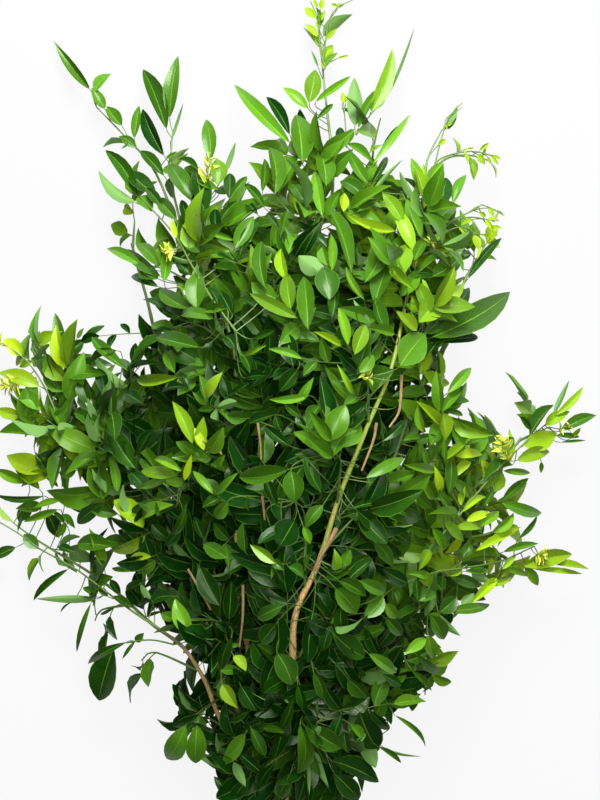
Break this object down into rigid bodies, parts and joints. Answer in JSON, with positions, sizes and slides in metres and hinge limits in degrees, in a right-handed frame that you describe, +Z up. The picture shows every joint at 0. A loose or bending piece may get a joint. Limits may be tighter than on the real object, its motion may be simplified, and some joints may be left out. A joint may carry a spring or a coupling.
{
  "type": "murraya foliage bunch",
  "caption": "Banded bunch of cut evergreen murraya stems with glossy pinnate leaves, lying on its side on a surface.",
  "frame": {"origin": "middle of the underside of the whole bunch, on the surface that it lies on", "axes": "+Z up, +Y along the bunch from the cut ends towards the tips, +X to the right seen from above with the tips away"},
  "size_m": [0.5322, 0.8176, 0.2058],
  "materials": {
    "leaf": "glossy deep green leaf with a paler midrib",
    "young_leaf": "bright yellow-green young leaf, satin",
    "bark": "thin tan to brown bark, green on the upper stems",
    "band": "matte natural rubber"
  },
  "bodies": {
    "root": {"stem_left_low": "bark", "stem_left": "bark", "stem_left_high": "bark", "stem_top": "bark", "stem_front": "bark", "stem_right_high": "bark", "stem_right": "bark", "stem_right_low": "bark", "stem_back_right": "bark", "stem_back_left": "bark", "shoot_top_left_tip": "leaf", "shoot_top_left_side": "leaf", "shoot_high_left": "leaf", "shoot_left_upper_a": "leaf", "shoot_left_upper_b": "leaf", "shoot_left_tip": "young_leaf", "shoot_left_a": "leaf", "shoot_left_b": "leaf", "shoot_left_c": "leaf", "shoot_left_d": "leaf", "shoot_left_low_tip": "young_leaf", "shoot_left_low_a": "leaf", "shoot_left_low_b": "leaf", "shoot_bottom_left": "leaf", "shoot_bottom": "leaf", "shoot_bottom_front": "leaf", "shoot_bottom_right": "leaf", "shoot_low_right_a": "leaf", "shoot_low_right_b": "leaf", "shoot_right_low_tip": "young_leaf", "shoot_right_a": "leaf", "shoot_right_tip": "young_leaf", "shoot_right_b": "leaf", "shoot_right_c": "leaf", "shoot_right_d": "leaf", "shoot_high_right_tip": "young_leaf", "shoot_arch": "young_leaf", "shoot_bare_twig": "leaf", "shoot_high_right_a": "leaf", "shoot_high_right_b": "leaf", "shoot_high_right_c": "leaf", "shoot_high_right_d": "leaf", "shoot_top_tip": "young_leaf", "shoot_top_a": "leaf", "shoot_top_b": "leaf", "shoot_back_right_tip": "leaf", "shoot_centre_a": "leaf", "shoot_centre_b": "leaf", "shoot_centre_c": "leaf", "shoot_front_a": "leaf", "shoot_front_b": "leaf", "shoot_front_c": "leaf", "shoot_low_front": "leaf", "shoot_low_left_front": "leaf", "shoot_back_a": "leaf", "shoot_back_b": "leaf", "shoot_back_c": "leaf", "shoot_back_d": "leaf", "shoot_back_left_tip": "leaf", "band": "band"}
  },
  "joints": []
}
